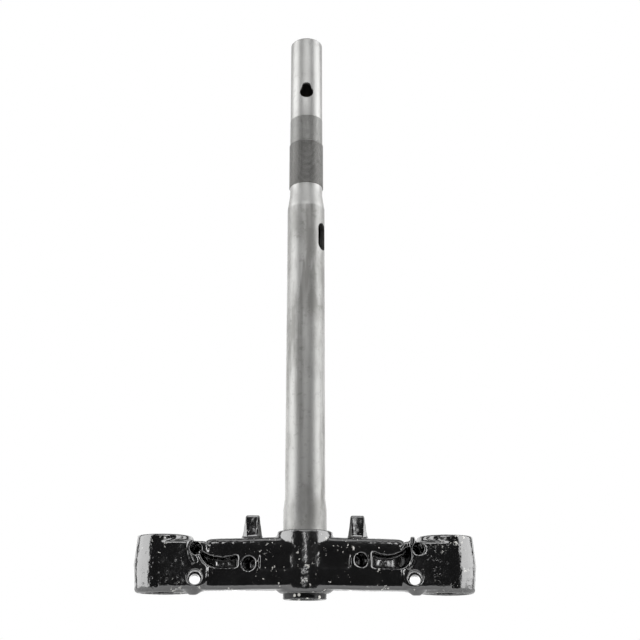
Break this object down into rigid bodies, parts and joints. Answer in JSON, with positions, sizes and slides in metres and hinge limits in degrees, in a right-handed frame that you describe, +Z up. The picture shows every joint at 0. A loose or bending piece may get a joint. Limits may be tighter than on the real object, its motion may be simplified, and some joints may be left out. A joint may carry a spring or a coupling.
{
  "type": "motorcycle triple clamp",
  "caption": "Lower fork bracket of a scooter: black forged bar with split fork clamps, and a long steel steering stem pressed through its boss.",
  "frame": {"origin": "on the stem's axis, in the plane of the boss's top, where the lower bearing seats", "axes": "+Z up the stem, +X to the right clamp as seen from the front, -Y to the side with the pockets and bolt holes"},
  "size_m": [0.2388, 0.0592, 0.4299],
  "materials": {
    "stem_steel": "turned, with storage stains",
    "black_paint": "gloss black over a rough forging"
  },
  "bodies": {
    "root": {"steering_stem": "stem_steel", "fork_bracket": "black_paint"}
  },
  "joints": []
}
